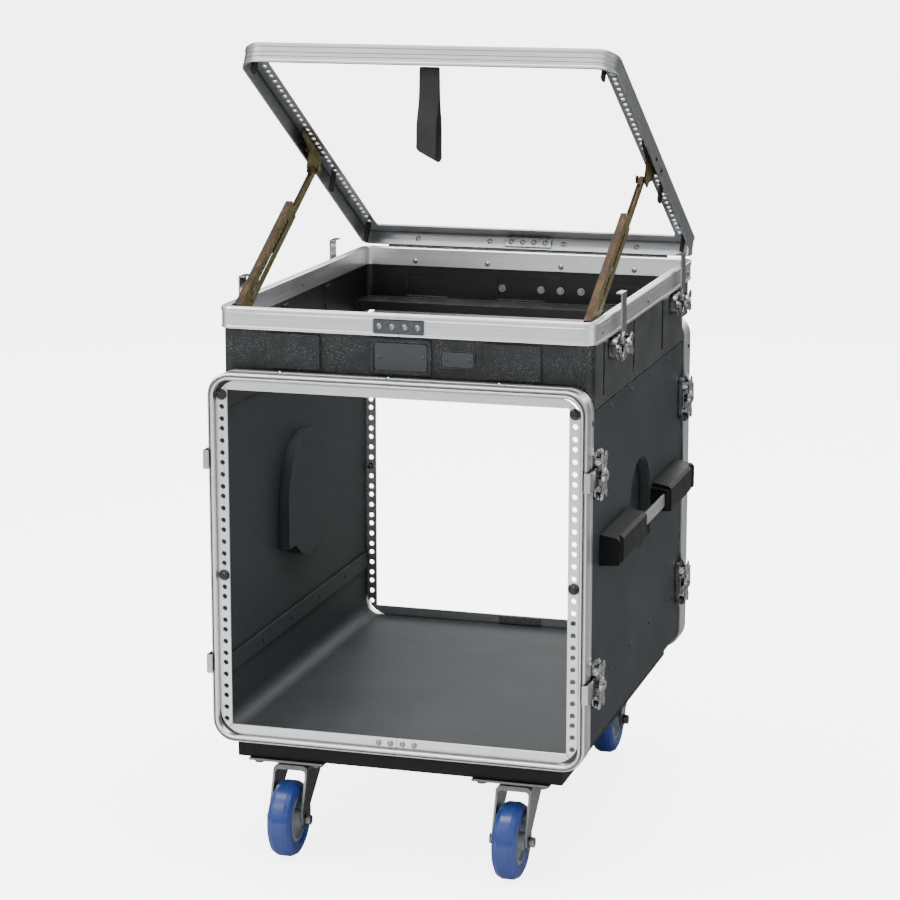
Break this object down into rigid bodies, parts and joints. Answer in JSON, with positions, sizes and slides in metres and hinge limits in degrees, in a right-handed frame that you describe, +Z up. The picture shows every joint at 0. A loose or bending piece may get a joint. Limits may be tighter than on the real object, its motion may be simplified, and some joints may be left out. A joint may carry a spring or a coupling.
{
  "type": "pop-up equipment rack case",
  "caption": "Rolling equipment rack case with a double-ended bay, draw latches, side handles, swivel casters and a tilting pop-up rack frame on sliding stays.",
  "frame": {"origin": "centre of the overall footprint, on the floor under the wheels", "axes": "+X to the right seen from the front, +Y towards the rear bay, +Z up"},
  "size_m": [0.5444, 0.689, 1.0517],
  "materials": {
    "pe_shell": "rotationally moulded polyethylene with a pebbled skin",
    "board": "plywood with a dark phenolic skin",
    "frame_aluminium": "extruded profile, satin with draw lines",
    "plate_aluminium": "rolled sheet, dull",
    "dark_rivet": "dark oxide heads, slightly worn",
    "black_screw": "black zinc",
    "badge": "plain dark plates",
    "latch_chrome": "bright zinc-nickel plate",
    "caster_steel": "bright zinc plate",
    "handle_black": "moulded end pieces, fine grain",
    "handle_steel": "bare spring steel strap",
    "stay_zinc": "yellow passivated zinc",
    "pad_rubber": "black rubber",
    "webbing": "woven webbing",
    "wheel": "polyurethane tread on a moulded hub"
  },
  "bodies": {
    "case": {"upper_shell": "pe_shell", "side_panels": "pe_shell", "bottom_tray": "pe_shell", "caster_board": "board", "front_frame": "frame_aluminium", "rear_frame": "frame_aluminium", "rim_frame": "frame_aluminium", "joint_plates": "plate_aluminium", "rivets": "dark_rivet", "rack_screws": "black_screw", "badge_plates": "badge", "latch_bases": "latch_chrome", "caster_plates": "caster_steel", "handle_housings": "handle_black", "handle_straps": "handle_steel", "rear_hinge_leaf": "plate_aluminium", "stay_feet": "stay_zinc"},
    "popup": {"popup_frame": "frame_aluminium", "popup_joint_plate": "plate_aluminium", "popup_rivets": "dark_rivet", "popup_hinge_leaf": "plate_aluminium", "stay_brackets": "stay_zinc", "popup_pads": "pad_rubber", "pull_strap": "webbing"},
    "channel_left": {"stay_channel_left": "stay_zinc"},
    "arm_left": {"stay_arm_left": "stay_zinc"},
    "channel_right": {"stay_channel_right": "stay_zinc"},
    "arm_right": {"stay_arm_right": "stay_zinc"},
    "swivel_fl": {"caster_fork_fl": "caster_steel"},
    "wheel_fl": {"caster_wheel_fl": "wheel"},
    "swivel_rl": {"caster_fork_rl": "caster_steel"},
    "wheel_rl": {"caster_wheel_rl": "wheel"},
    "swivel_fr": {"caster_fork_fr": "caster_steel"},
    "wheel_fr": {"caster_wheel_fr": "wheel"},
    "swivel_rr": {"caster_fork_rr": "caster_steel"},
    "wheel_rr": {"caster_wheel_rr": "wheel"},
    "wing_fl_low": {"wing_fl_low": "latch_chrome"},
    "hook_fl_low": {"hook_fl_low": "latch_chrome"},
    "wing_rl_low": {"wing_rl_low": "latch_chrome"},
    "hook_rl_low": {"hook_rl_low": "latch_chrome"},
    "wing_fl_high": {"wing_fl_high": "latch_chrome"},
    "hook_fl_high": {"hook_fl_high": "latch_chrome"},
    "wing_rl_high": {"wing_rl_high": "latch_chrome"},
    "hook_rl_high": {"hook_rl_high": "latch_chrome"},
    "wing_top_fl": {"wing_top_fl": "latch_chrome"},
    "hook_top_fl": {"hook_top_fl": "latch_chrome"},
    "wing_top_rl": {"wing_top_rl": "latch_chrome"},
    "hook_top_rl": {"hook_top_rl": "latch_chrome"},
    "wing_fr_low": {"wing_fr_low": "latch_chrome"},
    "hook_fr_low": {"hook_fr_low": "latch_chrome"},
    "wing_rr_low": {"wing_rr_low": "latch_chrome"},
    "hook_rr_low": {"hook_rr_low": "latch_chrome"},
    "wing_fr_high": {"wing_fr_high": "latch_chrome"},
    "hook_fr_high": {"hook_fr_high": "latch_chrome"},
    "wing_rr_high": {"wing_rr_high": "latch_chrome"},
    "hook_rr_high": {"hook_rr_high": "latch_chrome"},
    "wing_top_fr": {"wing_top_fr": "latch_chrome"},
    "hook_top_fr": {"hook_top_fr": "latch_chrome"},
    "wing_top_rr": {"wing_top_rr": "latch_chrome"},
    "hook_top_rr": {"hook_top_rr": "latch_chrome"}
  },
  "joints": [
    {"name": "popup_tilt", "type": "hinge", "parent": "case", "child": "popup", "pos_m": [0, 0.33333, 0.722], "axis": [-1, 0, 0], "range_deg": [-30.5, 0]},
    {"name": "stay_channel_left_swing", "type": "hinge", "parent": "case", "child": "channel_left", "pos_m": [-0.2315, -0.22647, 0.706], "axis": [1, 0, 0], "range_deg": [-28.9, 0]},
    {"name": "stay_arm_left_swing", "type": "hinge", "parent": "popup", "child": "arm_left", "pos_m": [-0.2315, 0.06071, 0.86367], "axis": [1, 0, 0], "range_deg": [-59.4, 0]},
    {"name": "stay_channel_right_swing", "type": "hinge", "parent": "case", "child": "channel_right", "pos_m": [0.2315, -0.22647, 0.706], "axis": [1, 0, 0], "range_deg": [-28.9, 0]},
    {"name": "stay_arm_right_swing", "type": "hinge", "parent": "popup", "child": "arm_right", "pos_m": [0.2315, 0.06071, 0.86367], "axis": [1, 0, 0], "range_deg": [-59.4, 0]},
    {"name": "caster_fl_swivel", "type": "hinge", "parent": "case", "child": "swivel_fl", "pos_m": [-0.1515, -0.25947, 0.119], "axis": [0, 0, 1], "continuous": true},
    {"name": "wheel_fl_spin", "type": "hinge", "parent": "swivel_fl", "child": "wheel_fl", "pos_m": [-0.1515, -0.29447, 0.05], "axis": [1, 0, 0], "continuous": true},
    {"name": "caster_rl_swivel", "type": "hinge", "parent": "case", "child": "swivel_rl", "pos_m": [-0.1515, 0.28053, 0.119], "axis": [0, 0, 1], "continuous": true},
    {"name": "wheel_rl_spin", "type": "hinge", "parent": "swivel_rl", "child": "wheel_rl", "pos_m": [-0.1515, 0.24553, 0.05], "axis": [1, 0, 0], "continuous": true},
    {"name": "caster_fr_swivel", "type": "hinge", "parent": "case", "child": "swivel_fr", "pos_m": [0.1515, -0.25947, 0.119], "axis": [0, 0, 1], "continuous": true},
    {"name": "wheel_fr_spin", "type": "hinge", "parent": "swivel_fr", "child": "wheel_fr", "pos_m": [0.1515, -0.29447, 0.05], "axis": [1, 0, 0], "continuous": true},
    {"name": "caster_rr_swivel", "type": "hinge", "parent": "case", "child": "swivel_rr", "pos_m": [0.1515, 0.28053, 0.119], "axis": [0, 0, 1], "continuous": true},
    {"name": "wheel_rr_spin", "type": "hinge", "parent": "swivel_rr", "child": "wheel_rr", "pos_m": [0.1515, 0.24553, 0.05], "axis": [1, 0, 0], "continuous": true},
    {"name": "latch_fl_low_turn", "type": "hinge", "parent": "case", "child": "wing_fl_low", "pos_m": [-0.2592, -0.26147, 0.258], "axis": [-1, 0, 0], "range_deg": [0, 180]},
    {"name": "latch_fl_low_hook", "type": "slide", "parent": "case", "child": "hook_fl_low", "axis": [0, -1, 0], "range_m": [0, 0.0091]},
    {"name": "latch_rl_low_turn", "type": "hinge", "parent": "case", "child": "wing_rl_low", "pos_m": [-0.2592, 0.26953, 0.258], "axis": [-1, 0, 0], "range_deg": [0, 180]},
    {"name": "latch_rl_low_hook", "type": "slide", "parent": "case", "child": "hook_rl_low", "axis": [0, 1, 0], "range_m": [0, 0.0091]},
    {"name": "latch_fl_high_turn", "type": "hinge", "parent": "case", "child": "wing_fl_high", "pos_m": [-0.2592, -0.26147, 0.53], "axis": [-1, 0, 0], "range_deg": [0, 180]},
    {"name": "latch_fl_high_hook", "type": "slide", "parent": "case", "child": "hook_fl_high", "axis": [0, -1, 0], "range_m": [0, 0.0091]},
    {"name": "latch_rl_high_turn", "type": "hinge", "parent": "case", "child": "wing_rl_high", "pos_m": [-0.2592, 0.26953, 0.53], "axis": [-1, 0, 0], "range_deg": [0, 180]},
    {"name": "latch_rl_high_hook", "type": "slide", "parent": "case", "child": "hook_rl_high", "axis": [0, 1, 0], "range_m": [0, 0.0091]},
    {"name": "latch_top_fl_turn", "type": "hinge", "parent": "case", "child": "wing_top_fl", "pos_m": [-0.2632, -0.15447, 0.6755], "axis": [-1, 0, 0], "range_deg": [0, 180]},
    {"name": "latch_top_fl_hook", "type": "slide", "parent": "case", "child": "hook_top_fl", "axis": [0, 0, 1], "range_m": [0, 0.0091]},
    {"name": "latch_top_rl_turn", "type": "hinge", "parent": "case", "child": "wing_top_rl", "pos_m": [-0.2632, 0.21553, 0.6755], "axis": [-1, 0, 0], "range_deg": [0, 180]},
    {"name": "latch_top_rl_hook", "type": "slide", "parent": "case", "child": "hook_top_rl", "axis": [0, 0, 1], "range_m": [0, 0.0091]},
    {"name": "latch_fr_low_turn", "type": "hinge", "parent": "case", "child": "wing_fr_low", "pos_m": [0.2592, -0.26147, 0.258], "axis": [1, 0, 0], "range_deg": [0, 180]},
    {"name": "latch_fr_low_hook", "type": "slide", "parent": "case", "child": "hook_fr_low", "axis": [0, -1, 0], "range_m": [0, 0.0091]},
    {"name": "latch_rr_low_turn", "type": "hinge", "parent": "case", "child": "wing_rr_low", "pos_m": [0.2592, 0.26953, 0.258], "axis": [1, 0, 0], "range_deg": [0, 180]},
    {"name": "latch_rr_low_hook", "type": "slide", "parent": "case", "child": "hook_rr_low", "axis": [0, 1, 0], "range_m": [0, 0.0091]},
    {"name": "latch_fr_high_turn", "type": "hinge", "parent": "case", "child": "wing_fr_high", "pos_m": [0.2592, -0.26147, 0.53], "axis": [1, 0, 0], "range_deg": [0, 180]},
    {"name": "latch_fr_high_hook", "type": "slide", "parent": "case", "child": "hook_fr_high", "axis": [0, -1, 0], "range_m": [0, 0.0091]},
    {"name": "latch_rr_high_turn", "type": "hinge", "parent": "case", "child": "wing_rr_high", "pos_m": [0.2592, 0.26953, 0.53], "axis": [1, 0, 0], "range_deg": [0, 180]},
    {"name": "latch_rr_high_hook", "type": "slide", "parent": "case", "child": "hook_rr_high", "axis": [0, 1, 0], "range_m": [0, 0.0091]},
    {"name": "latch_top_fr_turn", "type": "hinge", "parent": "case", "child": "wing_top_fr", "pos_m": [0.2632, -0.15447, 0.6755], "axis": [1, 0, 0], "range_deg": [0, 180]},
    {"name": "latch_top_fr_hook", "type": "slide", "parent": "case", "child": "hook_top_fr", "axis": [0, 0, 1], "range_m": [0, 0.0091]},
    {"name": "latch_top_rr_turn", "type": "hinge", "parent": "case", "child": "wing_top_rr", "pos_m": [0.2632, 0.21553, 0.6755], "axis": [1, 0, 0], "range_deg": [0, 180]},
    {"name": "latch_top_rr_hook", "type": "slide", "parent": "case", "child": "hook_top_rr", "axis": [0, 0, 1], "range_m": [0, 0.0091]}
  ],
  "couplings": [
    {"joint": "stay_channel_left_swing", "follows": "popup_tilt", "ratio": 0.94544},
    {"joint": "stay_arm_left_swing", "follows": "popup_tilt", "ratio": 1.9454},
    {"joint": "stay_channel_right_swing", "follows": "popup_tilt", "ratio": 0.94544},
    {"joint": "stay_arm_right_swing", "follows": "popup_tilt", "ratio": 1.9454},
    {"joint": "latch_fl_low_hook", "follows": "latch_fl_low_turn", "m_per_rad": 0.0028648},
    {"joint": "latch_rl_low_hook", "follows": "latch_rl_low_turn", "m_per_rad": 0.0028648},
    {"joint": "latch_fl_high_hook", "follows": "latch_fl_high_turn", "m_per_rad": 0.0028648},
    {"joint": "latch_rl_high_hook", "follows": "latch_rl_high_turn", "m_per_rad": 0.0028648},
    {"joint": "latch_top_fl_hook", "follows": "latch_top_fl_turn", "m_per_rad": 0.0028648},
    {"joint": "latch_top_rl_hook", "follows": "latch_top_rl_turn", "m_per_rad": 0.0028648},
    {"joint": "latch_fr_low_hook", "follows": "latch_fr_low_turn", "m_per_rad": 0.0028648},
    {"joint": "latch_rr_low_hook", "follows": "latch_rr_low_turn", "m_per_rad": 0.0028648},
    {"joint": "latch_fr_high_hook", "follows": "latch_fr_high_turn", "m_per_rad": 0.0028648},
    {"joint": "latch_rr_high_hook", "follows": "latch_rr_high_turn", "m_per_rad": 0.0028648},
    {"joint": "latch_top_fr_hook", "follows": "latch_top_fr_turn", "m_per_rad": 0.0028648},
    {"joint": "latch_top_rr_hook", "follows": "latch_top_rr_turn", "m_per_rad": 0.0028648}
  ]
}
